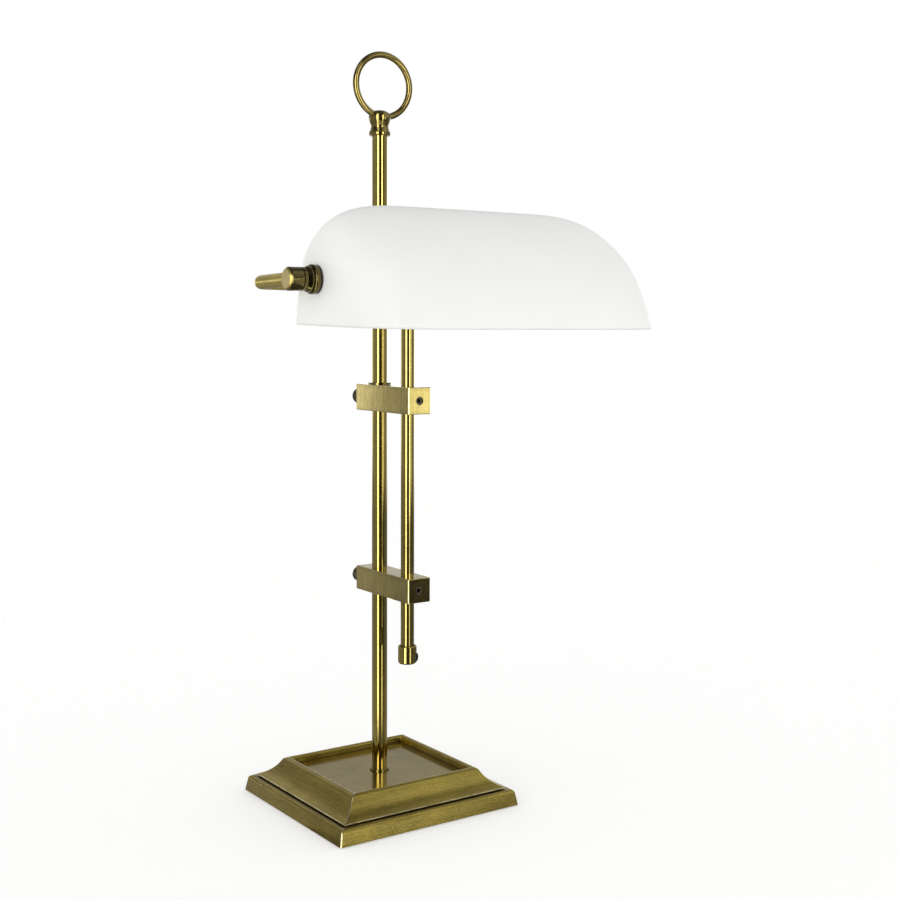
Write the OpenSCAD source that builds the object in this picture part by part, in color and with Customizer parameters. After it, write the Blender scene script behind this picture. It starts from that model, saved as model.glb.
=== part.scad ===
// Desk lamp with a square moulded base, a ringed column, a sliding and swinging
// carriage with a second rod, and an opal glass shade tilting in a fork.
// Origin: centre of the base on the table. +Z up, the shade stands out to -Y.
// All lengths in millimetres.

/* [Base] */
// Side of the square plinth at the table
base_side = 146; // [120:1:200]
// Height of the plinth slab
plinth_h = 10.9; // [8:0.1:20]
// How far each side of the plinth leans in over its height
plinth_draft = 2; // [0:0.1:4]
// Radius of the plinth's top edge
plinth_round = 2.7; // [0.4:0.1:3.4]
// Width of the plinth's solid rim around the weight
plinth_wall = 9; // [5:0.5:14]
// Thickness of the plinth's top deck
plinth_deck = 2.5; // [1.5:0.1:4]
// Thickness of the felt under the plinth
felt_t = 1.6; // [1:0.1:3]
// How far the felt stands proud of the plinth
felt_proud = 0.3; // [0.2:0.1:1]
// Distance from the plinth's edge to the felt's edge
felt_inset = 4; // [2:0.5:12]
// Height of the shadow groove between plinth and moulding
groove_h = 0.8; // [0.6:0.1:2]
// Depth of the shadow groove behind the moulding's lip
groove_d = 1.8; // [0.8:0.1:3]
// Distance from the plinth's edge in to the moulding's lip
lip_inset = 6.5; // [4:0.1:8]
// Thickness of the moulding's lip
lip_t = 0.6; // [0.5:0.1:2]
// Height of the moulding from lip to rim
moulding_h = 14; // [11:0.5:20]
// Slope of the cove at the lip, as a share of its mean slope
cove_start = 0.62; // [0.4:0.02:0.9]
// Side of the square recess inside the rim
recess_side = 94.8; // [80:0.2:100]
// Radius of the rim's outer curve
crest_r = 4; // [2.5:0.1:5]
// Radius of the rim's inner edge
rim_in_r = 1.4; // [0.6:0.1:1.8]
// Distance from the recess to the crest of the rim
crest_in = 2.1; // [1.8:0.1:3]
// Depth of the recess below the rim
recess_d = 5; // [3:0.2:7]
// Thickness of the polished panel in the recess
panel_t = 1.2; // [0.8:0.1:2]
// Width of the ledge that carries the panel
ledge_w = 4; // [2:0.5:6]
// Play around the weights and the panel
fit_play = 0.1; // [0.05:0.05:0.3]

/* [Column] */
// Diameter of the column tube
col_d = 11.1; // [9:0.1:14]
// Wall of the column tube
col_wall = 1.5; // [1:0.1:2.5]
// Height of the column from the panel to the finial
col_vis = 461; // [400:1:520]
// Height of the collar at the column's foot
collar_h = 1.4; // [1:0.1:4]
// How far the collar stands out from the column
collar_out = 1.6; // [0.8:0.1:3]
// Height of the locknut under the plinth's deck
locknut_h = 3.2; // [2.5:0.1:4]
// Width across flats of the locknut
locknut_af = 17; // [16:0.5:24]
// Thickness of the washer above the locknut
locknut_washer = 0.8; // [0.5:0.1:1.2]

/* [Finial and ring] */
// Height of the turned finial
finial_h = 18.4; // [16:0.2:24]
// Diameter of the finial's foot flange
finial_foot_d = 15.8; // [15:0.1:22]
// Diameter of the finial's neck
finial_neck_d = 12.5; // [11:0.1:13]
// Diameter of the finial's round head
finial_head_d = 16; // [14.5:0.1:22]
// Depth of the column's seat in the finial
finial_seat = 3; // [2:0.2:4]
// Outer diameter of the ring
ring_d = 49; // [40:0.5:60]
// How far the ring leans over to the right
ring_lean = 7; // [0:1:20]
// Diameter of the ring's wire
ring_wire = 4.7; // [3.5:0.1:5.5]

/* [Carriage] */
// Distance between column and rod axes
rod_gap = 38.4; // [30:0.1:50]
// Width of both blocks
block_w = 18; // [17:0.2:24]
// Height of the upper block
upper_h = 18.9; // [16:0.1:24]
// Height of the lower block
lower_h = 17.2; // [16:0.1:24]
// Block length behind the column axis
block_back = 18.3; // [13:0.1:24]
// Block length in front of the rod axis
block_front = 15.8; // [12:0.1:22]
// Chamfer along the block edges
block_edge = 0.5; // [0.2:0.1:1.2]
// Height of the lower block's underside above the table
lower_z = 152.4; // [120:0.5:200]
// Distance between the undersides of the two blocks
block_pitch = 131.9; // [100:0.5:160]
// Radial play of sliding and turning fits
run_play = 0.05; // [0.02:0.01:0.1]
// Thickness of the height ring on the upper block
height_ring_t = 1.4; // [1:0.1:3]
// How far the height ring stands out from the column
height_ring_out = 2.85; // [1.5:0.05:3.2]
// Gap between the height ring and the block
ring_gap = 0.1; // [0.05:0.05:0.3]

/* [Rod] */
// Diameter of the second rod
rod_d = 9.5; // [8:0.1:11]
// Wall of the rod tube
rod_wall = 1.5; // [1:0.1:2]
// Distance from the lower block's underside to the end cap's underside
rod_drop = 45.4; // [30:0.2:60]
// Diameter of the end cap
cap_d = 13.2; // [13:0.1:18]
// Height of the end cap
cap_h = 12.6; // [12:0.2:20]
// Floor of the end cap
cap_floor = 1.2; // [0.8:0.1:2]
// Depth of the dished top of the end cap
cap_dish = 1.5; // [0.8:0.1:2]
// Width of the rim around the dish
cap_rim = 0.9; // [0.6:0.1:1.4]
// Diameter of the cable hole in the end cap
outlet_d = 6; // [4.5:0.1:6]
// Diameter of the bush's own hole
bush_bore = 3.8; // [2.5:0.1:3.8]
// How far the bush stands out of the cap
bush_proud = 0.6; // [0.2:0.1:1.5]
// Compass angle of the cable hole around the rod
outlet_angle = -55; // [-90:5:0]

/* [Screws] */
// Diameter of the set screws that hold the rod
set_d = 6; // [4:0.5:7]
// How far the set screws lie back from the block's face
set_back = 1.2; // [0.5:0.1:3]
// Width across flats of the set screw's socket
set_key = 3; // [2:0.1:3]
// Diameter of the thumb screw stems
stem_d = 4; // [3:0.5:6]
// Diameter of the thumb screw knobs
knob_d = 11.3; // [9:0.1:16]
// Length of the thumb screw knobs
knob_l = 12.8; // [8:0.1:16]
// Gap between knob and block
knob_gap = 0.4; // [0.2:0.1:1]
// Number of grooves around each knob
knob_grooves = 20; // [12:1:28]

/* [Fork] */
// Height of the pivot axis above the upper block
fork_rise = 71; // [40:0.5:90]
// Distance from the rod axis forward to the pivot axis
fork_reach = 75.4; // [72:0.2:90]
// Distance from the pivot axis back to the elbows
arm_l = 45.9; // [40:0.1:50]
// Slope of the fork down from the pivots to its hub, in degrees
fork_tilt = 1.6; // [0:0.1:4]
// Diameter of the fork's tubes
fork_d = 8.8; // [7:0.1:9.4]
// Bend radius of the elbows
elbow_r = 6; // [5.5:0.1:12]
// Bore of the fork's tubes
fork_bore = 4.4; // [3:0.1:5]
// Diameter of the hub on the rod
hub_d = 15; // [14:0.2:20]
// Length of the hub below the bars' axis
hub_below = 16; // [12:0.5:24]
// Height of the hub's dome above the bars' axis
hub_above = 7.5; // [6:0.5:12]
// How far the fork's bars reach into the hub
hub_grip = 4; // [2:0.2:4]
// Diameter of the round end knuckles
knuckle_d = 14.6; // [13:0.1:18]
// Length of the knuckles along the pivot axis
knuckle_l = 9.7; // [9.5:0.1:14]
// Chamfer at the knuckle's outer end
knuckle_edge = 1.6; // [0.6:0.1:2]
// Thickness of the knuckle's closed outer end
knuckle_end = 1.5; // [1:0.1:2.5]

/* [Shade] */
// Length of the glass at the rim, before its end faces are flattened
shade_l = 228.3; // [200:0.1:260]
// Glass in front of the ridge line
shade_front = 86.6; // [70:0.2:110]
// Glass behind the ridge line
shade_back = 45; // [38:0.2:48]
// Height of the glass
shade_h = 76.2; // [65:0.2:95]
// Length of the straight ridge on top
ridge_l = 82.4; // [40:0.2:120]
// Thickness of the glass
glass_t = 3; // [2:0.1:4]
// How squarely the rim turns its corners
corner_n = 5; // [4:0.5:10]
// How squarely the top turns its corners
crown_n = 3.3; // [2.5:0.1:6]
// Fullness of the front curve
front_n = 1.5; // [1.4:0.1:2.6]
// Fullness of the back curve
back_n = 1.65; // [1.4:0.05:2.6]
// Fullness of the end curves
end_n = 3.6; // [3:0.1:5]
// Height of the pivot axis above the rim
pivot_up = 28.4; // [24:0.1:34]
// Pivot axis in front of the ridge line
pivot_fwd = 3.4; // [0:0.1:10]
// Tilt of the shade at rest, front edge down
shade_tilt = 1.25; // [0:0.05:5]

/* [Pivots] */
// Diameter of the hollow pivot pins
pin_d = 9.9; // [8:0.1:10.4]
// Bore of the hollow pivot pins
pin_bore = 6.6; // [4:0.1:7]
// Play of the pin in the glass
glass_play = 0.25; // [0.1:0.05:0.5]
// Diameter of the soft washers at the glass
soft_d = 17.8; // [15:0.1:18]
// Thickness of the soft washers
soft_t = 1.2; // [0.6:0.1:2]
// Diameter of the rosette's flange
rosette_d = 18.4; // [18:0.1:24]
// Thickness of the rosette's flange
rosette_t = 3.8; // [2.5:0.1:5]
// Diameter of the rosette's middle ring
rosette_mid_d = 16.2; // [15.5:0.1:18]
// Length of the rosette's middle ring with its groove
rosette_mid_t = 3.6; // [3:0.1:5]
// Diameter of the rosette's small ring
rosette_top_d = 14.6; // [14:0.1:15.2]
// Length of the rosette's small ring with its groove
rosette_top_t = 2.4; // [2:0.1:4]
// Gap between rosette and knuckle
rosette_gap = 0.2; // [0.1:0.05:0.4]
// Clearance between the glass and the soft washers inside
glass_seat = 0.05; // [0:0.01:0.2]
// Thickness of the steel washers inside
steel_t = 1; // [0.8:0.1:2]
// Thickness of the pivot nuts
nut_t = 4; // [3:0.1:6]
// Width across flats of the pivot nuts
nut_af = 14; // [13:0.5:17]

/* [Lampholder and bulb] */
// Gap between nut and lampholder
holder_gap = 0.2; // [0.1:0.1:1]
// Length of the lampholder
holder_l = 34; // [30:0.5:44]
// Diameter of the lampholder
holder_d = 26; // [24:0.5:32]
// Wall of the lampholder's shell
holder_wall = 1; // [0.6:0.1:1.5]
// Diameter of the bulb's metal cap
bulb_cap_d = 13.5; // [12:0.1:14]
// Length of the bulb's metal cap
bulb_cap_l = 24; // [22:0.5:28]
// Diameter of the tubular bulb
bulb_d = 26; // [20:0.5:30]
// Length of the bulb's glass
bulb_l = 104; // [80:1:120]
// Wall of the bulb's glass and cap
bulb_wall = 0.8; // [0.5:0.1:1.5]

/* [Hidden] */
$fn = 96;
e = 0.01;
big = 400;

// levels of the base
half = base_side / 2;
z_plinth = felt_proud;
z_deck = z_plinth + plinth_h;
z_lip = z_deck + groove_h;
z_rim = z_lip + moulding_h;
z_panel = z_rim - recess_d;
weight_half = half - plinth_wall;
lip_half = half - lip_inset;
recess_half = recess_side / 2;
crest = [recess_half + crest_in, z_rim - crest_r];
rim_in = [recess_half + rim_in_r, z_rim - rim_in_r];
foot = [lip_half, z_lip + lip_t];
cove_dir = cove_start * atan2(crest[1] - foot[1], foot[0] - crest[0]);
cove_n = [sin(cove_dir), cos(cove_dir)];
cove_v = foot - crest;
cove_r = (cove_v * cove_v - crest_r * crest_r) / (2 * (crest_r - cove_v * cove_n));
cove_c = foot + cove_r * cove_n;
cove_end = crest + crest_r * (cove_c - crest) / norm(cove_c - crest);
nut_room = locknut_af / cos(30) / 2 + 3;

// column, finial and ring
col_r = col_d / 2;
z_locknut = z_deck - plinth_deck - locknut_washer - locknut_h;
z_finial = z_panel + col_vis;
ring_r = (ring_d - ring_wire) / 2;
z_head = z_finial + finial_h * 0.77;
z_ring = z_head + ring_r * cos(ring_lean);
x_ring = ring_r * sin(ring_lean);

// carriage
rod_r = rod_d / 2;
rod_y = -rod_gap;
upper_z = lower_z + block_pitch;
z_upper_top = upper_z + upper_h;
cap_z = lower_z - rod_drop;
rod_z0 = cap_z + cap_h - cap_dish - 2.9;
outlet_z = (cap_z + cap_floor + rod_z0) / 2;
front_y = rod_y - block_front;
slide_r = col_r + run_play;

// pivots: distances out from the centre plane
pivot_y = rod_y - fork_reach;
pivot_z = z_upper_top + fork_rise;
end_full = shade_l / 2;
ridge_half = ridge_l / 2;
flat_share = 0.53;
function bow(s, n) = pow(max(0, 1 - pow(s, n)), 1 / n);
end_x = ridge_half + (end_full - ridge_half) * bow(flat_share, end_n);
soft_x = end_x + soft_t;
flange_x = soft_x + rosette_t;
mid_x = flange_x + rosette_mid_t;
top_x = mid_x + rosette_top_t;
knuckle_x = top_x + rosette_gap;
knuckle_out = knuckle_x + knuckle_l;
arm_x = knuckle_x + knuckle_l / 2;
elbow_y = pivot_y + arm_l;
hub_y = pivot_y + fork_reach / cos(fork_tilt);
hub_z = pivot_z - fork_reach * tan(fork_tilt);
bar_len = sqrt(arm_x * arm_x + pow(hub_y - elbow_y, 2));
bar_turn = atan2(hub_y - elbow_y, arm_x);
elbow_back = elbow_r * tan((90 - bar_turn) / 2);
arm_gap = pin_d / 2 + run_play + 0.3;
pin_out = knuckle_out - knuckle_end - 0.3;
glass_in = end_x - glass_t;
soft_in = glass_in - glass_seat;
steel_x = soft_in - soft_t;
nut_x = steel_x - steel_t;
nut_in = nut_x - nut_t;
holder_x = nut_in - holder_gap;
rod_top = hub_z - fork_d / 2 - 0.3;

// a square body that follows a half profile on all four sides
module mitred(reach) {
    intersection() {
        rotate([90, 0, 0]) linear_extrude(2 * reach, center = true) children();
        rotate([90, 0, 90]) linear_extrude(2 * reach, center = true) children();
    }
}
module both_sides() { children(); mirror([1, 0]) children(); }

// a turned piece about the pivot axis: the profile is [out along X, radius]
module on_pivot(side = -1) {
    translate([0, pivot_y, pivot_z]) mirror([side < 0 ? 1 : 0, 0, 0])
        rotate([0, 90, 0]) rotate([0, 0, 90]) children();
}
module disc(x0, x1, r, bore = 0) {
    translate([0, 0, x0]) difference() {
        cylinder(h = x1 - x0, r = r);
        if (bore > 0) translate([0, 0, -1]) cylinder(h = x1 - x0 + 2, r = bore);
    }
}
module hex(h, af) { cylinder(h = h, r = af / 2 / cos(30), $fn = 6); }

// ---- base
module base_felt() color("#2f4a33")
    translate([-half + felt_inset, -half + felt_inset, 0])
        cube([base_side - 2 * felt_inset, base_side - 2 * felt_inset, felt_t]);

module plinth_profile() both_sides() {
    top = half - plinth_draft;
    r = plinth_round;
    side = norm([plinth_h, plinth_draft]);
    n = [plinth_h, plinth_draft] / side;
    c = [half - plinth_draft * (plinth_h - r) / plinth_h - r * side / plinth_h, z_deck - r];
    difference() {
        polygon([[0, z_plinth], [half, z_plinth], [top, z_deck], [0, z_deck]]);
        difference() {
            polygon([c, c + 3 * r * n, c + [4 * r, 4 * r], c + [0, 3 * r]]);
            translate(c) circle(r = r - e);
        }
    }
}
module base_plinth() color("#8d7a38") difference() {
    mitred(half + 5) plinth_profile();
    translate([-weight_half, -weight_half, -1])
        cube([2 * weight_half, 2 * weight_half, 1 + z_deck - plinth_deck]);
    translate([-half + felt_inset - fit_play, -half + felt_inset - fit_play, -1])
        cube([base_side - 2 * felt_inset + 2 * fit_play,
            base_side - 2 * felt_inset + 2 * fit_play, 1 + felt_t]);
    cylinder(h = z_deck + 5, r = col_r);
}

module lower_weight() color("#3a3a3c") difference() {
    w = weight_half - fit_play;
    translate([-w, -w, felt_t]) cube([2 * w, 2 * w, z_deck - plinth_deck - felt_t]);
    translate([0, 0, -1]) cylinder(h = z_deck + 5, r = nut_room);
}

module moulding_outer() both_sides() {
    translate([0, z_deck]) square([lip_half - groove_d, groove_h + e]);
    difference() {
        union() {
            polygon([[0, z_lip], [lip_half, z_lip], foot, cove_end, crest, [0, crest[1]]]);
            translate([0, crest[1] - e]) square([crest[0], crest_r + e]);
            translate(crest) circle(r = crest_r);
        }
        translate(cove_c) circle(r = cove_r + e, $fn = 240);
    }
}
module moulding_inner() both_sides() {
    difference() {
        translate([0, z_panel - panel_t]) square([rim_in[0], big / 10]);
        translate(rim_in) circle(r = rim_in_r);
        translate([recess_half, z_panel - panel_t - 1])
            square([crest_r, rim_in[1] - z_panel + panel_t + 1]);
    }
    translate([0, z_deck - 1]) square([recess_half - ledge_w, z_panel - z_deck]);
}
module base_moulding() color("#9a8640") difference() {
    mitred(half) moulding_outer();
    mitred(half) moulding_inner();
}

module base_panel() color("#7b6b4c") difference() {
    w = recess_half - fit_play;
    translate([-w, -w, z_panel - panel_t]) cube([2 * w, 2 * w, panel_t]);
    translate([0, 0, z_deck]) cylinder(h = z_panel, r = col_r);
}

module upper_weight() color("#3a3a3c") difference() {
    w = recess_half - ledge_w - fit_play;
    translate([-w, -w, z_deck]) cube([2 * w, 2 * w, z_panel - panel_t - z_deck]);
    translate([0, 0, z_deck - 1]) cylinder(h = z_panel, r = col_r + 0.4);
}

// ---- column
module foot_collar() color("#a8924a") translate([0, 0, z_panel]) rotate_extrude()
    translate([col_r, 0]) {
        r = min(collar_out, collar_h) / 2;
        square([collar_out, collar_h - r]);
        square([collar_out - r, collar_h]);
        translate([collar_out - r, collar_h - r]) circle(r = r, $fn = 32);
    }

module column() color("#a8924a") difference() {
    translate([0, 0, z_locknut - 0.6])
        cylinder(h = z_finial + finial_seat - z_locknut + 0.6, r = col_r);
    translate([0, 0, -1]) cylinder(h = z_finial + finial_seat + 2, r = col_r - col_wall);
}

module column_washer() color("#8c8c8c") difference() {
    translate([0, 0, z_deck - plinth_deck - locknut_washer])
        cylinder(h = locknut_washer, r = nut_room - 1);
    translate([0, 0, -1]) cylinder(h = z_deck, r = col_r);
}

module column_locknut() color("#8c8c8c") difference() {
    translate([0, 0, z_locknut]) hex(locknut_h, locknut_af);
    translate([0, 0, -1]) cylinder(h = z_deck, r = col_r);
}

// ---- finial and ring
module finial_head() color("#8d7a38") difference() {
    f = finial_foot_d / 2;
    n = finial_neck_d / 2;
    h = finial_head_d / 2;
    zf = finial_h * 0.12;
    zn = finial_h * 0.35;
    zw = finial_h * 0.7;
    translate([0, 0, z_finial]) rotate_extrude() polygon(concat(
        [[0, 0], [f - 0.7, 0], [f - 0.15, 0.55], [f, 1.3]],
        [for (i = [0 : 5]) [n + (f - n) * pow(1 - i / 6, 1.6), zf + (zn - zf) * i / 6]],
        [for (i = [0 : 8]) [n + (h - n) * pow(sin(i * 11), 1.4), zn + (zw - zn) * i / 8]],
        [for (i = [1 : 8]) [h * pow(cos(i * 11), 0.83),
            zw + (finial_h - zw) * pow(sin(i * 11), 0.83)]],
        [[0, finial_h]]));
    translate([0, 0, z_finial - 1]) cylinder(h = finial_seat + 1, r = col_r);
    ring_solid();
}
module ring_solid() {
    translate([x_ring, 0, z_ring]) rotate([90, 0, 0]) rotate_extrude()
        translate([ring_r, 0]) circle(r = ring_wire / 2, $fn = 48);
}
module finial_ring() color("#a8924a") ring_solid();

// ---- carriage
module height_ring() color("#7a693a") difference() {
    z0 = z_upper_top + ring_gap;
    translate([0, 0, z0]) rotate_extrude() difference() {
        square([col_r + height_ring_out, height_ring_t]);
        translate([col_r + height_ring_out - 0.3, height_ring_t - 0.3]) difference() {
            square([1, 1]);
            circle(r = 0.3, $fn = 24);
        }
    }
    translate([0, 0, z0 - 1]) cylinder(h = height_ring_t + 2, r = slide_r);
}

module slab2d(x0, x1, y0, y1, c) {
    polygon([[x0 + c, y0], [x1 - c, y0], [x1, y0 + c], [x1, y1 - c], [x1 - c, y1],
        [x0 + c, y1], [x0, y1 - c], [x0, y0 + c]]);
}
module block(z0, h) {
    w = block_w / 2;
    c = block_edge;
    difference() {
        intersection() {
            translate([0, 0, z0]) linear_extrude(h) slab2d(-w, w, front_y, block_back, c);
            translate([-w, 0, 0]) rotate([90, 0, 90]) linear_extrude(block_w)
                slab2d(front_y, block_back, z0, z0 + h, c);
            translate([0, block_back, 0]) rotate([90, 0, 0])
                linear_extrude(block_back - front_y) slab2d(-w, w, z0, z0 + h, c);
        }
        translate([0, 0, z0 - 1]) cylinder(h = h + 2, r = slide_r);
        translate([0, rod_y, z0 - 1]) cylinder(h = h + 2, r = rod_r);
        translate([0, rod_y, z0 + h / 2]) rotate([90, 0, 0])
            cylinder(h = block_front + 1, r = set_d / 2);
        translate([0, block_back + 1, z0 + h / 2]) rotate([90, 0, 0])
            cylinder(h = block_back + 1, r = stem_d / 2 + run_play);
    }
}
module upper_block() color("#b39c50") block(upper_z, upper_h);
module lower_block() color("#8d7a3c") block(lower_z, lower_h);

module slide_rod() color("#a8924a") difference() {
    translate([0, rod_y, rod_z0]) cylinder(h = rod_top - rod_z0, r = rod_r);
    translate([0, rod_y, rod_z0 - 1])
        cylinder(h = rod_top - rod_z0 + 2, r = rod_r - rod_wall);
}

module rod_end_cap() color("#a8924a") translate([0, rod_y, 0]) difference() {
    r = cap_d / 2;
    z1 = cap_z + cap_h;
    rotate_extrude() polygon([[0, cap_z], [r - 1, cap_z], [r, cap_z + 1], [r, z1 - 0.4],
        [r - 0.4, z1], [r - cap_rim, z1], [r - cap_rim, z1 - cap_dish], [rod_r, z1 - cap_dish],
        [rod_r, rod_z0], [rod_r - 0.6, rod_z0], [rod_r - 0.6, cap_z + cap_floor],
        [0, cap_z + cap_floor]]);
    outlet_hole(outlet_d / 2, 0, cap_d);
}
module outlet_hole(r, from, to) {
    translate([0, 0, outlet_z]) rotate([0, 0, outlet_angle]) rotate([0, 90, 0])
        translate([0, 0, from]) cylinder(h = to - from, r = r);
}
module outlet_bush() color("#1d1b18") translate([0, rod_y, 0]) difference() {
    outlet_hole(outlet_d / 2, rod_r - 0.4, cap_d / 2 + bush_proud);
    outlet_hole(bush_bore / 2, 0, cap_d);
}

module set_screw(z0, h) {
    len = block_front - rod_r - run_play - set_back;
    translate([0, front_y + set_back, z0 + h / 2]) rotate([-90, 0, 0]) difference() {
        cylinder(h = len, r = set_d / 2);
        translate([0, 0, -1]) hex(1 + len * 0.3, set_key);
    }
}
module upper_set_screw() color("#2b2922") set_screw(upper_z, upper_h);
module lower_set_screw() color("#2b2922") set_screw(lower_z, lower_h);

module thumb_screw(z0, h) {
    y1 = block_back + knob_gap;
    r = knob_d / 2;
    translate([0, 0, z0 + h / 2]) rotate([-90, 0, 0]) {
        translate([0, 0, col_r + 0.1]) cylinder(h = y1 - col_r, r = stem_d / 2);
        difference() {
            translate([0, 0, y1]) rotate_extrude() intersection() {
                union() {
                    square([r - 1, knob_l]);
                    translate([0, 1]) square([r, knob_l - 3.2]);
                    translate([r - 1, 1]) circle(r = 1, $fn = 32);
                    translate([r - 2.2, knob_l - 2.2]) circle(r = 2.2, $fn = 48);
                }
                union() {
                    square([r, knob_l - 2.2]);
                    square([r - 2.2, knob_l]);
                    translate([r - 2.2, knob_l - 2.2]) circle(r = 2.2, $fn = 48);
                }
            }
            for (i = [0 : knob_grooves - 1]) rotate([0, 0, i * 360 / knob_grooves])
                translate([r + 0.25, 0, y1 + 1.6]) cylinder(h = knob_l - 4.2, r = 0.6, $fn = 16);
        }
    }
}
module upper_thumb_screw() color("#4a4028") thumb_screw(upper_z, upper_h);
module lower_thumb_screw() color("#4a4028") thumb_screw(lower_z, lower_h);

// ---- fork
module in_fork() translate([0, pivot_y, pivot_z]) rotate([-fork_tilt, 0, 0])
    translate([0, -pivot_y, -pivot_z]) children();
module bar_line(side, from, to, r) {
    in_fork() translate([0, hub_y, pivot_z]) mirror([side > 0 ? 0 : 1, 0, 0])
        rotate([0, 0, -bar_turn]) rotate([0, 90, 0]) translate([0, 0, from])
        cylinder(h = to - from, r = r);
}
module arm_line(side, y0, y1, r) {
    in_fork() translate([side * arm_x, y0, pivot_z]) rotate([-90, 0, 0])
        cylinder(h = y1 - y0, r = r);
}
module fork_hub() color("#8d7a38") difference() {
    r = hub_d / 2;
    z0 = hub_z - hub_below;
    z1 = hub_z + hub_above;
    translate([0, rod_y, 0]) rotate_extrude() polygon([[0, z0], [r - 0.8, z0], [r, z0 + 0.8],
        [r, z1 - 2.2], [r - 0.7, z1 - 0.7], [r - 2.2, z1], [0, z1]]);
    translate([0, rod_y, z0 - 1]) cylinder(h = rod_top - z0 + 1, r = rod_r);
    translate([0, rod_y, hub_z - fork_d]) cylinder(h = fork_d, r = fork_bore / 2 + 0.3);
    translate([0, rod_y, hub_z]) sphere(r = fork_bore / 2 + 0.7);
    for (s = [-1, 1]) {
        bar_line(s, hub_d / 2 - hub_grip, hub_d, fork_d / 2);
        bar_line(s, 1, hub_d, fork_bore / 2);
    }
}
module fork_bar(side) difference() {
    bar_line(side, hub_d / 2 - hub_grip, bar_len - elbow_back, fork_d / 2);
    bar_line(side, 0, bar_len, fork_bore / 2);
}
module fork_bar_left() color("#a8924a") fork_bar(-1);
module fork_bar_right() color("#a8924a") fork_bar(1);

module fork_elbow(side) in_fork() mirror([side > 0 ? 0 : 1, 0, 0])
    translate([arm_x - elbow_r, elbow_y - elbow_back, pivot_z])
        rotate_extrude(angle = 90 - bar_turn) translate([elbow_r, 0]) difference() {
            circle(r = fork_d / 2);
            circle(r = fork_bore / 2);
        }
module fork_elbow_left() color("#a8924a") fork_elbow(-1);
module fork_elbow_right() color("#a8924a") fork_elbow(1);

module fork_arm(side) difference() {
    arm_line(side, pivot_y + arm_gap, elbow_y - elbow_back, fork_d / 2);
    arm_line(side, pivot_y, elbow_y, fork_bore / 2);
}
module fork_arm_left() color("#b39c50") fork_arm(-1);
module fork_arm_right() color("#b39c50") fork_arm(1);

module knuckle(side) difference() {
    r = knuckle_d / 2;
    b = pin_d / 2 + run_play;
    on_pivot(side) rotate_extrude() polygon([[b, knuckle_x], [r - 0.5, knuckle_x],
        [r, knuckle_x + 0.5], [r, knuckle_out - knuckle_edge], [r - knuckle_edge, knuckle_out],
        [0, knuckle_out], [0, pin_out + 0.3], [b, pin_out + 0.3]]);
    arm_line(side, pivot_y + arm_gap, elbow_y, fork_d / 2);
    arm_line(side, pivot_y, elbow_y, fork_bore / 2);
}
module knuckle_left() color("#5c4f28") knuckle(-1);
module knuckle_right() color("#5c4f28") knuckle(1);

// ---- shade: rings of a rounded rectangle that shrink on to the ridge line
rings = 20;
around = 80;
function level(i) = sin(88.6 * i / rings);
function shade_ring(i, t) = let (
        s = level(i),
        n = corner_n + (crown_n - corner_n) * s,
        x = min(end_x, ridge_half + (end_full - ridge_half) * bow(s, end_n)) - t,
        f = (shade_front - t) * bow(s, front_n),
        b = (shade_back - t) * bow(s, back_n))
    [for (k = [0 : around - 1]) let (
            a = 360 * (k + 0.5) / around, u = cos(a), v = sin(a),
            r = pow(pow(abs(u), n) + pow(abs(v), n), -1 / n))
        [x * r * u, (v < 0 ? f : b) * r * v, (shade_h - t) * s]];
function band(p, q) = [for (k = [0 : around - 1]) let (m = (k + 1) % around)
    each [[p + k, q + k, p + m], [p + m, q + k, q + m]]];
module glass_form() {
    pts = concat(
        [for (i = [0 : rings]) each shade_ring(i, 0)],
        [for (i = [0 : rings]) each shade_ring(i, glass_t)]);
    in0 = (rings + 1) * around;
    faces = concat(
        [for (i = [0 : rings - 1]) each band(i * around, (i + 1) * around)],
        [for (i = [0 : rings - 1]) each band(in0 + (i + 1) * around, in0 + i * around)],
        band(in0, 0),
        [[for (k = [around - 1 : -1 : 0]) rings * around + k]],
        [[for (k = [0 : around - 1]) in0 + rings * around + k]]);
    polyhedron(points = pts, faces = faces, convexity = 6);
}
module glass_shade() color("#f2f4f0") difference() {
    translate([0, pivot_y, pivot_z]) rotate([shade_tilt, 0, 0])
        translate([0, pivot_fwd, -pivot_up]) glass_form();
    for (s = [-1, 1]) on_pivot(s) translate([0, 0, glass_in - 8])
        cylinder(h = glass_t + 16, r = pin_d / 2 + glass_play);
}

// ---- pivot hardware
module rosette(side) on_pivot(side) rotate_extrude() difference() {
    union() {
        translate([0, soft_x]) square([rosette_d / 2 - 1, rosette_t]);
        translate([0, soft_x + 0.9]) square([rosette_d / 2, rosette_t - 2.2]);
        translate([rosette_d / 2 - 0.9, soft_x + 0.9]) circle(r = 0.9, $fn = 32);
        translate([rosette_d / 2 - 1.3, flange_x - 1.3]) circle(r = 1.3, $fn = 32);
        translate([0, flange_x - e]) square([rosette_mid_d / 2 - 1.2, 0.6 + e]);
        translate([0, flange_x + 0.6]) polygon([[0, 0], [rosette_mid_d / 2, 0],
            [rosette_mid_d / 2, 0.8], [rosette_mid_d / 2 - 0.9, rosette_mid_t - 0.6],
            [0, rosette_mid_t - 0.6]]);
        translate([0, mid_x - e]) square([rosette_top_d / 2 - 0.7, 0.5 + e]);
        translate([0, mid_x + 0.5]) square([rosette_top_d / 2, rosette_top_t - 0.5]);
    }
    translate([-1, soft_x - 1]) square([1 + pin_d / 2, top_x - soft_x + 2]);
}
module rosette_left() color("#6f5f2e") rosette(-1);
module rosette_right() color("#6f5f2e") rosette(1);

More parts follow.
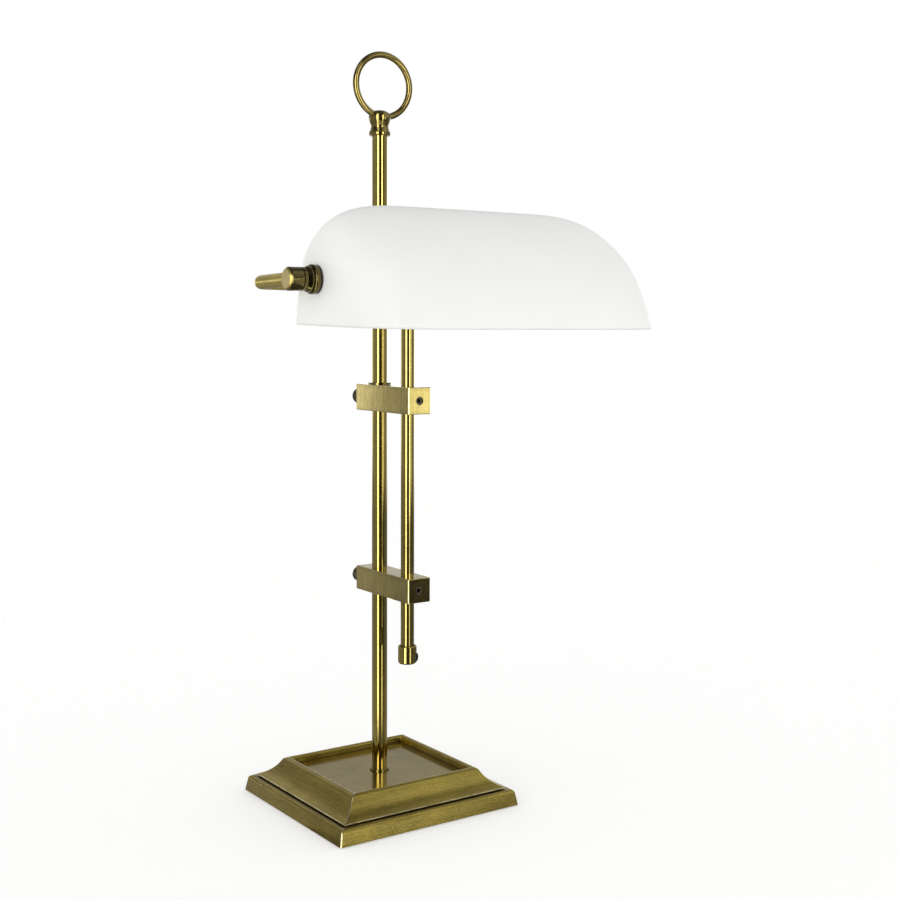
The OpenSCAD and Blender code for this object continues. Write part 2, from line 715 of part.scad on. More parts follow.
module outer_washer_left() color("#1d1b18") on_pivot(-1) disc(end_x, soft_x, soft_d / 2, pin_d / 2);
module outer_washer_right() color("#1d1b18") on_pivot(1) disc(end_x, soft_x, soft_d / 2, pin_d / 2);
module inner_washer_left() color("#1d1b18") on_pivot(-1) disc(steel_x, soft_in, soft_d / 2, pin_d / 2);
module inner_washer_right() color("#1d1b18") on_pivot(1) disc(steel_x, soft_in, soft_d / 2, pin_d / 2);
module steel_washer_left() color("#9a9a9a") on_pivot(-1) disc(nut_x, steel_x, soft_d / 2 - 0.6, pin_d / 2);
module steel_washer_right() color("#9a9a9a") on_pivot(1) disc(nut_x, steel_x, soft_d / 2 - 0.6, pin_d / 2);

module pivot_nut(side) on_pivot(side) translate([0, 0, nut_in]) difference() {
    hex(nut_t, nut_af);
    translate([0, 0, -1]) cylinder(h = nut_t + 2, r = pin_d / 2);
}
module pivot_nut_left() color("#a8924a") pivot_nut(-1);
module pivot_nut_right() color("#a8924a") pivot_nut(1);

holder_neck = 6;
module pivot_pin_left() color("#a8924a")
    on_pivot(-1) disc(holder_x - holder_neck, pin_out, pin_d / 2, pin_bore / 2);
module pivot_pin_right() color("#a8924a")
    on_pivot(1) disc(nut_in - 1.5, pin_out, pin_d / 2, pin_bore / 2);

// ---- lampholder and bulb, along the pivot axis from the left end
core_x = holder_x - holder_neck - 2;
core_end = holder_x - holder_l + 1.5;
seat_x = core_x - 5;
module lampholder() color("#a8924a") on_pivot(-1) rotate_extrude() difference() {
    polygon([[0, holder_x], [pin_d / 2 + 2.5, holder_x], [holder_d / 2, holder_x - 5],
        [holder_d / 2, holder_x - holder_l], [0, holder_x - holder_l]]);
    translate([-1, holder_x - holder_neck]) square([1 + pin_d / 2, holder_neck + 1]);
    translate([-1, holder_x - holder_l - 1])
        square([1 + holder_d / 2 - holder_wall, holder_l - holder_neck + 1 - 2]);
    translate([-1, holder_x - holder_neck - 3]) square([1 + pin_bore / 2, 4]);
}
module lampholder_core() color("#eeebe2") on_pivot(-1) difference() {
    disc(core_end, core_x, holder_d / 2 - holder_wall, 0);
    translate([0, 0, core_end - 1]) cylinder(h = seat_x - core_end + 1, r = bulb_cap_d / 2 + 0.2);
    translate([0, 0, seat_x - 1]) cylinder(h = 10, r = pin_bore / 2 - 0.8);
}
module bulb_cap() color("#b8a76a") on_pivot(-1) difference() {
    disc(seat_x - bulb_cap_l, seat_x - 0.2, bulb_cap_d / 2, 0);
    translate([0, 0, seat_x - bulb_cap_l - 1])
        cylinder(h = bulb_cap_l - 1, r = bulb_cap_d / 2 - bulb_wall);
}
// outline of the bulb: neck in the cap, shoulder, tube and round end
function bulb_line(w) = let (x0 = seat_x - bulb_cap_l, r = bulb_d / 2 - w,
        k = bulb_cap_d / 2 - bulb_wall - 0.05 - w, c = x0 - bulb_l + bulb_d / 2)
    concat([[0, x0 + 4 + w], [k, x0 + 4 + w], [k, x0 - 1], [r, x0 - 11]],
        [for (i = [0 : 15]) [r * cos(i * 6), c - r * sin(i * 6)]]);
module bulb_glass() color("#f7f6f0") on_pivot(-1) rotate_extrude() difference() {
    polygon(bulb_line(0));
    polygon(bulb_line(bulb_wall));
}

base_felt();
base_plinth();
base_moulding();
base_panel();
lower_weight();
upper_weight();
foot_collar();
column();
column_washer();
column_locknut();
finial_head();
finial_ring();
height_ring();
upper_block();
lower_block();
slide_rod();
rod_end_cap();
outlet_bush();
upper_set_screw();
lower_set_screw();
upper_thumb_screw();
lower_thumb_screw();
fork_hub();
fork_bar_left();
fork_bar_right();
fork_elbow_left();
fork_elbow_right();
fork_arm_left();
fork_arm_right();
knuckle_left();
knuckle_right();
glass_shade();
rosette_left();
rosette_right();
outer_washer_left();
outer_washer_right();
inner_washer_left();
inner_washer_right();
steel_washer_left();
steel_washer_right();
pivot_nut_left();
pivot_nut_right();
pivot_pin_left();
pivot_pin_right();
lampholder();
lampholder_core();
bulb_cap();
bulb_glass();
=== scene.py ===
# Looks, finer meshes, camera and light for the brass desk lamp with an opal glass shade.
# Everything is in metres in the CAD's frame; tables of shapes are in millimetres.
import math
import bpy
from mathutils import Matrix, Vector


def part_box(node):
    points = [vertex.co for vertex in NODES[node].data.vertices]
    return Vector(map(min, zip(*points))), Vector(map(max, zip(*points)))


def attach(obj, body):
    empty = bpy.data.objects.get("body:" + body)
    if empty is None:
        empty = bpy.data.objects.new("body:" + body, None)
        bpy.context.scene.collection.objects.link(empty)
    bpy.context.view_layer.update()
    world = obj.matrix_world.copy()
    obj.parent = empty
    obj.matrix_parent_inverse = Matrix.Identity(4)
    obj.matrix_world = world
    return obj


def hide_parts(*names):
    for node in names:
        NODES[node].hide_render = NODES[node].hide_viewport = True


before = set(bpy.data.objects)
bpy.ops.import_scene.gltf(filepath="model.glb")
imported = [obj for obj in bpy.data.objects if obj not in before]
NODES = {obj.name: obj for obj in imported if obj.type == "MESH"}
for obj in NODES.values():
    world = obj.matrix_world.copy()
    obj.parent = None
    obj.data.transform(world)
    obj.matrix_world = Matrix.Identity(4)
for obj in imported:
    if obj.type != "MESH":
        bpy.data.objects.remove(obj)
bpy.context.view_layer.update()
scene = bpy.context.scene
MM = 0.001

# ------------------------------------------------------------------ places in the frame

PLACES = 5    # decimals of a metre: boxes are read to a hundredth of a millimetre


def box_middle(node):
    low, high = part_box(node)
    return tuple(round(c, PLACES) for c in (low + high) / 2)


def box_half(node):
    """Half of a node's size along x, y and z."""
    low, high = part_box(node)
    return tuple(round(c, PLACES) for c in (high - low) / 2)


def corners_mm(node):
    """Lowest and highest corner of a node in millimetres."""
    return [[round(c / MM, PLACES - 3) for c in corner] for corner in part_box(node)]


# axes that pieces turn about: the column and the rod in x and y, the pivots in y and z
COLUMN = box_middle("column")[:2]
ROD = box_middle("slide_rod")[:2]
PIVOT = box_middle("pivot_pin_left")[1:]

# ------------------------------------------------------------------ node trees


class Tree:
    """Short names for building a node tree, here the world's."""

    GLOW = "ShaderNodeBackground"

    def __init__(self, tree):
        self.tree = tree

    def new(self, kind, **settings):
        node = self.tree.nodes.new(kind)
        for key, value in settings.items():
            setattr(node, key, value)
        return node

    def link(self, output, socket):
        self.tree.links.new(output, socket)

    def fill(self, socket, value):
        """Give a socket a number, or link it to a node's output."""
        if isinstance(value, (int, float)):
            socket.default_value = value
        else:
            self.link(value, socket)

    def feed(self, node, values):
        """Fill a node's inputs in turn, and return its first output."""
        for i, value in enumerate(values):
            self.fill(node.inputs[i], value)
        return node.outputs[0]

    def math(self, op, *values):
        return self.feed(self.new("ShaderNodeMath", operation=op), values)

    def add(self, a, b):
        return self.math("ADD", a, b)

    def sub(self, a, b):
        return self.math("SUBTRACT", a, b)

    def mul(self, a, b):
        return self.math("MULTIPLY", a, b)

    def most(self, a, b):
        return self.math("MAXIMUM", a, b)

    def least(self, a, b):
        return self.math("MINIMUM", a, b)

    def size(self, a):
        return self.math("ABSOLUTE", a)

    def polar(self, u, v):
        """Distance from the origin and angle about it."""
        radius = self.math("SQRT", self.add(self.mul(u, u), self.mul(v, v)))
        return radius, self.math("ARCTAN2", v, u)

    def vec(self, x, y, z):
        return self.feed(self.new("ShaderNodeCombineXYZ"), (x, y, z))

    def split(self, what="Object"):
        """Three outputs of a texture coordinate."""
        node = self.new("ShaderNodeSeparateXYZ")
        self.link(self.new("ShaderNodeTexCoord").outputs[what], node.inputs[0])
        return node.outputs[0], node.outputs[1], node.outputs[2]

    def ease(self, value, a, b):
        """0 at a, 1 at b, eased."""
        ends = (a, b, 0.0, 1.0) if a < b else (b, a, 1.0, 0.0)
        node = self.new("ShaderNodeMapRange", interpolation_type="SMOOTHSTEP")
        return self.feed(node, (value,) + ends)

    def span(self, value, a, b, at_a, at_b):
        """Straight from at_a at a to at_b at b."""
        return self.feed(self.new("ShaderNodeMapRange"), (value, a, b, at_a, at_b))

    def near(self, value, at, reach):
        """1 where a value is met, easing to 0 at a distance from it."""
        return self.ease(self.size(self.sub(value, at)), reach, reach * 0.4)

    def glow(self, level):
        """White light of a fixed or computed strength."""
        node = self.new(self.GLOW)
        node.inputs["Color"].default_value = (1, 1, 1, 1)
        self.fill(node.inputs["Strength"], level)
        return node.outputs[0]

    def either(self, fac, a, b):
        """Shader a where fac is 0, shader b where it is 1."""
        return self.feed(self.new("ShaderNodeMixShader"), (fac, a, b))

    def both(self, a, b):
        """The sum of two shaders."""
        return self.feed(self.new("ShaderNodeAddShader"), (a, b))


class Mat(Tree):
    """A node material around one Principled shader."""

    GLOW = "ShaderNodeEmission"

    def __init__(self, name):
        self.material = bpy.data.materials.new(name)
        self.material.use_nodes = True
        super().__init__(self.material.node_tree)
        self.tree.nodes.clear()
        self.out = self.new("ShaderNodeOutputMaterial")
        self.shader = self.new("ShaderNodeBsdfPrincipled")
        self.link(self.shader.outputs[0], self.out.inputs[0])
        self.xyz = self.split()

    def put(self, **values):
        """Set sockets of the shader; an underscore stands for a space."""
        for key, value in values.items():
            self.shader.inputs[key.replace("_", " ")].default_value = value

    def drive(self, socket, output):
        self.link(output, self.shader.inputs[socket])

    def noise(self, scale, detail, rough, vec=None):
        node = self.new("ShaderNodeTexNoise")
        node.inputs["Scale"].default_value = scale
        node.inputs["Detail"].default_value = detail
        node.inputs["Roughness"].default_value = rough
        self.link(self.vec(*self.xyz) if vec is None else vec, node.inputs["Vector"])
        return node.outputs["Fac"]

    def ramp(self, fac, low, low_color, high, high_color):
        node = self.new("ShaderNodeValToRGB")
        stops = ((low, low_color), (high, high_color))
        for stop, (place, color) in zip(node.color_ramp.elements, stops):
            stop.position = place
            stop.color = tuple(color) + (1.0,)
        self.link(fac, node.inputs[0])
        return node.outputs[0]

    def blend(self, fac, output, color):
        """A computed colour, and a fixed one where fac is 1."""
        node = self.new("ShaderNodeMix", data_type="RGBA")
        self.link(fac, node.inputs[0])
        self.link(output, node.inputs[6])
        node.inputs[7].default_value = tuple(color) + (1.0,)
        return node.outputs[2]

    def bump(self, relief, strength, distance):
        node = self.new("ShaderNodeBump")
        node.inputs["Strength"].default_value = strength
        node.inputs["Distance"].default_value = distance
        self.link(relief, node.inputs["Height"])
        self.drive("Normal", node.outputs[0])


# ------------------------------------------------------------------ brass


ARC_RADIUS = 0.01    # metres from an axis, where the grain's length round it is true


def grain(m, way, across, along, axis=COLUMN):
    """Coordinates stretched along the way a surface was brushed or turned."""
    x, y, z = m.xyz
    if way == "up":           # lines up and down
        return m.vec(m.mul(x, across), m.mul(y, across), m.mul(z, along))
    if way == "forward":      # lines along y
        return m.vec(m.mul(x, across), m.mul(y, along), m.mul(z, across))
    if way == "sides":        # lines along each side of a square
        shift = 7.3           # keeps neighbouring sides from repeating
        ax, ay = m.size(x), m.size(y)
        on_x = m.math("GREATER_THAN", ax, ay)
        run = m.add(m.mul(on_x, y), m.mul(m.sub(1.0, on_x), x))
        run = m.add(m.mul(run, along), m.mul(on_x, shift))
        return m.vec(m.mul(m.most(ax, ay), across), m.mul(z, across), run)
    # rings about an upright axis, or about a level one along x
    u, v, length = (x, y, z) if way == "round_z" else (y, z, x)
    radius, angle = m.polar(m.sub(u, axis[0]), m.sub(v, axis[1]))
    return m.vec(m.mul(radius, across), m.mul(length, across),
                 m.mul(angle, along * ARC_RADIUS))


# noises of the brass: scale, detail, roughness
LINES, CLOUD, SPECK = (1.0, 4.0, 0.65), (45.0, 3.0, 0.5), (1300.0, 2.0, 0.6)
DARK_AT, LIGHT_AT = 0.38, 0.58    # where in the mixed noise the two colours are reached
PAINTED_SHADE_SHARE = 0.3                  # of the dark colour, painted as shade where the marks darken
LACQUER_ROUGH = 0.08
BRASS_RELIEF = 0.0002


def brass(name, light, dark, rough, lay, streak=0.35, fine=0.25, relief=0.15, vary=0.08, coat=0.3,
          metal=1.0, pits=0.0, marks=None, bright=(0.86, 0.76, 0.46)):
    """Antique brass: clouds of aged tone, brushed or turned lines, fine speckle, clear lacquer,
    and painted shade and painted light laid by the marks.
    """
    m = Mat(name)
    lines = m.noise(*LINES, vec=grain(m, *lay))
    cloud = m.noise(*CLOUD)
    speck = m.noise(*SPECK)
    mixed = m.add(m.mul(lines, streak), m.mul(cloud, 1 - fine - streak))
    mixed = m.add(mixed, m.mul(speck, fine))
    color = m.ramp(mixed, DARK_AT, dark, LIGHT_AT, light)
    skin = m.span(lines, 0.25, 0.75, rough - vary, rough + vary)
    if marks:
        painted_shade, wear_and_painted_light, gloss = marks(m)
        if painted_shade is not None:
            # painted shade: the dark colour is laid where the marks say shade falls
            color = m.blend(painted_shade, color, tuple(c * PAINTED_SHADE_SHARE for c in dark))
        # painted light: a bright colour on edges and end faces, on the edges over brass rubbed
        # bright
        color = m.blend(wear_and_painted_light, color, bright)
        skin = m.mul(skin, gloss)
    m.drive("Base Color", color)
    m.drive("Roughness", skin)
    m.put(Metallic=metal, Coat_Weight=coat, Coat_Roughness=LACQUER_ROUGH)
    if relief:
        m.bump(m.add(lines, m.mul(speck, pits)) if pits else lines, relief, BRASS_RELIEF)
    return m.material


# Marks on the base in metres. Pairs give where a mark starts to show and where it is full:
# by half width, by height, or by distance from the mitres.
OUTSIDE_RIM, RECESS = (0.0478, 0.0490), (0.0490, 0.0476)
WALL = (0.0226, 0.0210)
MITRE_RUB_AND_HIGHLIGHT, MITRE_SMOOTH = (0.0011, 0.0003), (0.0017, 0.0012)
GROOVE = (0.0696, 0.0668)
GROOVE_Z, GROOVE_REACH = 0.0114, 0.0014
LIP_OUT, LIP_OUT_REACH = 0.0664, 0.0008
LIP_Z, LIP_Z_REACH = 0.0126, 0.0006


def base_marks(m):
    """Painted shade in the groove and at the foot of the recess wall by the panel, and a painted
    highlight on the mitres and the lip, over brass rubbed bright there.

    Like the other marks, it returns the painted shade (or None), what is painted bright, and by
    how much the roughness is multiplied.
    """
    x, y, z = m.xyz
    ax, ay = m.size(x), m.size(y)
    out = m.most(ax, ay)
    off = m.size(m.sub(ax, ay))
    outer = m.ease(out, *OUTSIDE_RIM)
    corner = m.mul(m.ease(off, *MITRE_RUB_AND_HIGHLIGHT), outer)
    smooth = m.mul(m.ease(off, *MITRE_SMOOTH), outer)
    groove = m.mul(m.near(z, GROOVE_Z, GROOVE_REACH), m.ease(out, *GROOVE))
    wall = m.mul(m.ease(z, *WALL), m.ease(out, *RECESS))
    lip = m.mul(m.near(z, LIP_Z, LIP_Z_REACH), m.near(out, LIP_OUT, LIP_OUT_REACH))
    rub = m.span(m.noise(160.0, 3.0, 0.6), 0.35, 0.6, 0.4, 1.0)
    # painted shade in the groove and at the foot of the recess wall
    painted_shade = m.most(m.mul(groove, 0.6), m.mul(wall, 0.7))
    # painted highlight on the mitres and the lip, over brass rubbed bright there
    wear_and_painted_light = m.mul(m.most(m.mul(corner, 0.9), m.mul(lip, 0.8)), rub)
    return painted_shade, wear_and_painted_light, m.span(smooth, 0.0, 1.0, 1.0, 0.35)


# the two blocks: half width, then middle and half length in y, then both in z
BLOCK_HALF_X = box_half("lower_block")[0]
BLOCK_Y, LOWER_Z = list(zip(box_middle("lower_block"), box_half("lower_block")))[1:]
UPPER_Z = (box_middle("upper_block")[2], box_half("upper_block")[2])
# by distance from the nearest edge, as on the base
# bands for the edges, painted bright as highlights over rubbed brass, and for painted shade
# inside them
EDGE_RUB_AND_HIGHLIGHT = (0.0005, 0.0002)
EDGE_SHADE_IN, EDGE_SHADE_OUT, EDGE_SHADE = (0.0034, 0.0012), (0.0004, 0.0009), 0.16


def block_marks(m):
    """Edges of the two blocks painted bright as highlights over rubbed brass, and painted shade
    just inside them.
    """
    x, y, z = m.xyz
    dx = m.sub(BLOCK_HALF_X, m.size(x))
    dy, low, high = (m.sub(half, m.size(m.sub(value, middle)))
                     for value, (middle, half) in ((y, BLOCK_Y), (z, LOWER_Z), (z, UPPER_Z)))
    dz = m.most(low, high)
    # the middle one of the three is the distance to the nearest edge
    edge = m.most(m.least(dx, dy), m.least(m.most(dx, dy), dz))
    rub = m.span(m.noise(260.0, 3.0, 0.6), 0.35, 0.6, 0.25, 1.0)
    # painted highlight on the edges, over brass rubbed bright
    wear_and_painted_light = m.mul(m.ease(edge, *EDGE_RUB_AND_HIGHLIGHT), rub)
    # painted shade: a darker band just inside the edges
    edge_shade = m.mul(m.mul(m.ease(edge, *EDGE_SHADE_IN), m.ease(edge, *EDGE_SHADE_OUT)), EDGE_SHADE)
    return edge_shade, wear_and_painted_light, m.span(wear_and_painted_light, 0.0, 1.0, 1.0, 1.1)


KNUCKLE_FACE = (0.1316, 0.1324)


def knuckle_marks(m):
    """The knuckles' end faces get a lighter colour, painted light on them, and are made matt."""
    end = m.ease(m.size(m.xyz[0]), *KNUCKLE_FACE)
    return None, end, m.span(end, 0.0, 1.0, 1.0, 3.2)


# name: light colour, dark colour, roughness, (way of the grain, lines per metre across, along,
# axis), and what differs from the usual brass
# painted shade: brass for the rosettes and knuckles, made dark so that their shaded tops read
# black
SHADE_DARKENED_BRASS = ((0.14, 0.106, 0.028), (0.065, 0.048, 0.013), 0.13, ("round_x", 1500, 60, PIVOT))
MATERIALS = {
    "tube": brass("brass_tube", (0.47, 0.365, 0.08), (0.28, 0.214, 0.042), 0.08,
                  ("round_z", 1600, 60), streak=0.3, fine=0.4, relief=0.008, vary=0.02, coat=0.7),
    "rod": brass("brass_rod", (0.42, 0.325, 0.075), (0.25, 0.19, 0.04), 0.08,
                 ("round_z", 1600, 60, ROD), streak=0.3, fine=0.4, relief=0.008, vary=0.02,
                 coat=0.7),
    "block": brass("brass_block", (0.57, 0.46, 0.155), (0.3, 0.237, 0.062), 0.1,
                   ("up", 2400, 60), streak=0.5, relief=0.02, vary=0.03, marks=block_marks,
                   bright=(0.76, 0.64, 0.33)),
    "base": brass("brass_base", (0.41, 0.315, 0.066), (0.18, 0.136, 0.028), 0.24,
                  ("sides", 2400, 30), fine=0.45, relief=0.12, vary=0.06, coat=0.05, metal=0.88,
                  pits=0.8, marks=base_marks),
    "turned": brass("brass_turned", (0.28, 0.214, 0.055), (0.15, 0.113, 0.03), 0.14,
                    ("round_z", 1500, 60), streak=0.25, fine=0.1, relief=0.01, vary=0.02),
    "ring": brass("brass_ring", (0.3, 0.23, 0.062), (0.2, 0.152, 0.04), 0.1,
                  ("up", 200, 200), streak=0.3, fine=0.05, relief=0.0, vary=0.02),
    "cap": brass("brass_cap", (0.47, 0.37, 0.085), (0.33, 0.255, 0.05), 0.12,
                 ("round_z", 1500, 60, ROD), streak=0.4, relief=0.03, vary=0.03, coat=0.6),
    "pivot": brass("brass_pivot", *SHADE_DARKENED_BRASS, streak=0.4, relief=0.02, vary=0.03),
    "knuckle": brass("brass_knuckle", *SHADE_DARKENED_BRASS, streak=0.4, relief=0.02, vary=0.03,
                     marks=knuckle_marks, bright=(0.56, 0.44, 0.12)),
    "arm": brass("brass_arm", (0.78, 0.62, 0.16), (0.5, 0.39, 0.09), 0.34,
                 ("forward", 1400, 60), streak=0.2, fine=0.55, vary=0.04, coat=0.1, pits=1.0),
    "panel": brass("brass_panel", (0.47, 0.372, 0.14), (0.3, 0.236, 0.084), 0.15,
                   ("up", 900, 900), streak=0.25, fine=0.5, relief=0.05, vary=0.03, coat=0.05,
                   pits=0.8),
    "knob": brass("brass_knob", (0.14, 0.105, 0.045), (0.07, 0.052, 0.022), 0.22,
                  ("forward", 1200, 60), streak=0.5, relief=0.1, vary=0.05),
    "plain": brass("brass_plain", (0.72, 0.57, 0.27), (0.6, 0.46, 0.2), 0.2,
                   ("round_x", 1500, 60, PIVOT), streak=0.4, relief=0.1, vary=0.04),
}

# ------------------------------------------------------------------ other materials


def simple(name, color, vary, rough, metallic=0.0, scale=300.0, relief=0.1, **sockets):
    """One colour, mottled by a noise that also gives the relief."""
    m = Mat(name)
    mottle = m.noise(scale, 4.0, 0.6)
    low = tuple(c * (1 - vary) for c in color)
    high = tuple(min(1.0, c * (1 + vary)) for c in color)
    m.drive("Base Color", m.ramp(mottle, 0.3, low, 0.7, high))
    m.put(Metallic=metallic, Roughness=rough, **sockets)
    m.bump(mottle, relief, 0.0003)
    return m.material


def opal():
    """Opal glass with a satin skin and the faintest unevenness."""
    m = Mat("opal_glass")
    m.drive("Base Color", m.ramp(m.noise(28.0, 2.0, 0.5), 0.25, (0.917, 0.926, 0.897),
                                 0.75, (0.932, 0.943, 0.912)))
    m.put(Roughness=0.32, IOR=1.5, Specular_IOR_Level=0.14, Coat_Weight=0.03, Coat_Roughness=0.15)
    m.bump(m.noise(900.0, 2.0, 0.5), 0.03, 0.0002)
    return m.material


MATERIALS.update({
    "opal": opal(),
    "steel": simple("zinc_steel", (0.62, 0.62, 0.60), 0.08, 0.3, 1.0, 400, 0.05),
    "black_steel": simple("dark_steel", (0.13, 0.115, 0.085), 0.3, 0.3, 0.9, 600, 0.05),
    "rubber": simple("black_rubber", (0.022, 0.02, 0.018), 0.25, 0.6, 0.0, 900, 0.2),
    "bush": simple("brown_plastic", (0.045, 0.036, 0.018), 0.2, 0.35, 0.0, 700, 0.1),
    "felt": simple("green_felt", (0.045, 0.11, 0.06), 0.45, 0.95, 0.0, 1500, 0.6,
                   Sheen_Weight=0.4),
    "iron": simple("cast_weight", (0.09, 0.09, 0.095), 0.25, 0.7, 0.3, 300, 0.5),
    "ceramic": simple("white_ceramic", (0.82, 0.80, 0.75), 0.04, 0.45, 0.0, 300, 0.05),
    "bulb": simple("frosted_bulb", (0.90, 0.89, 0.86), 0.02, 0.35, 0.0, 200, 0.02),
})

LOOKS = {
    "felt": ["base_felt"],
    "base": ["base_plinth", "base_moulding"],
    "panel": ["base_panel"],
    "iron": ["lower_weight", "upper_weight"],
    "turned": ["foot_collar", "finial_head", "height_ring", "fork_hub"],
    "tube": ["column"],
    "steel": ["column_washer", "column_locknut", "steel_washer_left", "steel_washer_right"],
    "ring": ["finial_ring"],
    "block": ["upper_block", "lower_block"],
    "rod": ["slide_rod"],
    "cap": ["rod_end_cap"],
    "bush": ["outlet_bush"],
    "black_steel": ["upper_set_screw", "lower_set_screw"],
    "knob": ["upper_thumb_screw", "lower_thumb_screw"],
    "arm": ["fork_bar_left", "fork_bar_right", "fork_elbow_left", "fork_elbow_right",
            "fork_arm_left", "fork_arm_right"],
    "knuckle": ["knuckle_left", "knuckle_right"],
    "opal": ["glass_shade"],
    "pivot": ["rosette_left", "rosette_right"],
    "rubber": ["outer_washer_left", "outer_washer_right", "inner_washer_left",
               "inner_washer_right"],
    "plain": ["pivot_nut_left", "pivot_nut_right", "pivot_pin_left", "pivot_pin_right",
              "lampholder", "bulb_cap"],
    "ceramic": ["lampholder_core"],
    "bulb": ["bulb_glass"],
}
for look, names in LOOKS.items():
    for name in names:
        NODES[name].data.materials.clear()
        NODES[name].data.materials.append(MATERIALS[look])

# ------------------------------------------------------------------ meshes


def add_mesh(name, points_mm, faces, look):
    """A smooth piece from points in millimetres."""
    mesh = bpy.data.meshes.new(name)
    mesh.from_pydata([tuple(c * MM for c in p) for p in points_mm], [], faces)
    mesh.update()
    mesh.shade_smooth()
    mesh.materials.append(MATERIALS[look])
    piece = bpy.data.objects.new(name, mesh)
    scene.collection.objects.link(piece)
    return piece


def stands_for(piece, body, node):
    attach(piece, body)
    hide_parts(node)


def strips(rings, around, closed):
    """Faces between each ring of points and the next one."""
    faces = []
    for i in range(rings if closed else rings - 1):
        j = (i + 1) % rings
        for k in range(around):
            m = (k + 1) % around
            faces.append((i * around + k, i * around + m, j * around + m, j * around + k))
    return faces


# ------------------------------------------------------------------ opal glass

# The glass in its own frame has its rim at z 0, which lies below and behind the pivots by two
# of these sizes. Powers shape it: corner and crown in plan, front, back and end from the side.
# flat is the share of the height up to which the ends are flat.
GLASS = dict(end_full=114.15, ridge=41.2, front=86.6, back=45.0, height=76.2, thick=3.0,
             corner_n=5.0, crown_n=3.3, front_n=1.5, back_n=1.65, end_n=3.6, flat=0.53,
             below=28.4, behind=3.4, tilt=1.25)
TOP_DEGREES = 89.2
PIN_HOLE = 5.2


def bow(share, power):
    """A quarter of a superellipse: 1 at the rim, 0 at the top."""
    return max(0.0, 1.0 - share ** power) ** (1.0 / power)


def glass_end(share):
    g = GLASS
    return g["ridge"] + (g["end_full"] - g["ridge"]) * bow(share, g["end_n"])


def glass_ring(share, inset, around):
    """One level of the glass, a rounded rectangle, at a share of its height."""
    g = GLASS
    n = g["corner_n"] + (g["crown_n"] - g["corner_n"]) * share
    x = min(glass_end(g["flat"]), glass_end(share)) - inset
    front = (g["front"] - inset) * bow(share, g["front_n"])
    back = (g["back"] - inset) * bow(share, g["back_n"])
    points = []
    for k in range(around):
        angle = 2 * math.pi * (k + 0.5) / around
        c, s = math.cos(angle), math.sin(angle)
        r = (abs(c) ** n + abs(s) ** n) ** (-1.0 / n)
        points.append((x * r * c, (front if s < 0 else back) * r * s,
                       (g["height"] - inset) * share))
    return points


def glass(around=240, levels=64, lip=8):
    thick = GLASS["thick"]
    shares = [math.sin(math.radians(TOP_DEGREES * i / levels)) for i in range(1, levels + 1)]
    rings = [glass_ring(share, thick, around) for share in reversed(shares)]    # inside
    for j in range(1, lip):                                                     # rounded rim
        angle = math.pi * j / lip
        inset = thick * (0.5 + 0.5 * math.cos(angle))
        z = GLASS["height"] * shares[0] * (1.0 - math.sin(angle))
        rings.append([(p[0], p[1], z) for p in glass_ring(0.0, inset, around)])
    rings += [glass_ring(share, 0.0, around) for share in shares]               # outside
    faces = strips(len(rings), around, closed=False)
    last = (len(rings) - 1) * around
    faces += [tuple(range(last, last + around)), tuple(range(around - 1, -1, -1))]
    piece = add_mesh("opal_shade", [p for ring in rings for p in ring], faces, "opal")
    piece.data.transform(
        Matrix.Translation(Vector((0, PIVOT[0], PIVOT[1])))
        @ Matrix.Rotation(math.radians(GLASS["tilt"]), 4, "X")
        @ Matrix.Translation(Vector((0, GLASS["behind"] * MM, -GLASS["below"] * MM))))
    piece.data.flip_normals()
    cut_pin_holes(piece)
    stands_for(piece, "shade", "glass_shade")


def cut_pin_holes(piece):
    """Holes for the pivot pins, through both ends on the pivot axis."""
    bpy.ops.mesh.primitive_cylinder_add(
        vertices=48, radius=PIN_HOLE * MM, depth=0.4, location=(0, PIVOT[0], PIVOT[1]),
        rotation=(0, math.pi / 2, 0))
    cutter = bpy.context.object
    holes = piece.modifiers.new("holes", "BOOLEAN")
    holes.operation = "DIFFERENCE"
    holes.object = cutter
    holes.solver = "EXACT"
    bpy.context.view_layer.objects.active = piece
    piece.select_set(True)
    bpy.ops.object.modifier_apply(modifier=holes.name)
    bpy.data.objects.remove(cutter, do_unlink=True)


glass()

# ------------------------------------------------------------------ carrying ring

RING_CENTRE = (2.699, 0.0, 518.15)
RING_R, WIRE_R = 22.15, 2.34


def carrying_ring(around=240, across=48):
    """Round wire bent to an upright ring."""
    points = []
    for i in range(around):
        a = 2 * math.pi * i / around
        for k in range(across):
            b = 2 * math.pi * k / across
            out = RING_R + WIRE_R * math.cos(b)
            points.append((RING_CENTRE[0] + out * math.cos(a),
                           RING_CENTRE[1] + WIRE_R * math.sin(b),
                           RING_CENTRE[2] + out * math.sin(a)))
    piece = add_mesh("carrying_ring", points, strips(around, across, closed=True), "ring")
    stands_for(piece, "lamp_base", "finial_ring")


carrying_ring()

# ------------------------------------------------------------------ base with eased corners

(_, _, FOOT_Z), (PLINTH_HALF, _, DECK_Z) = corners_mm("base_plinth")
_, (MOULDING_HALF, _, MOULDING_TOP) = corners_mm("base_moulding")
DECK_T = 2.5
CORNER_OUT, CORNER_IN = 1.2, 0.3
CORNER_STEPS = 6


def square_ring(half, z, corner):
    """Level outline of a square whose corners are rounded by a small radius."""
    points = []
    for quarter, (sx, sy) in enumerate(((1, 1), (-1, 1), (-1, -1), (1, -1))):
        for i in range(CORNER_STEPS + 1):
            a = math.pi / 2 * (quarter + i / CORNER_STEPS)
            points.append((sx * (half - corner) + corner * math.cos(a),
                           sy * (half - corner) + corner * math.sin(a), z))
    return points


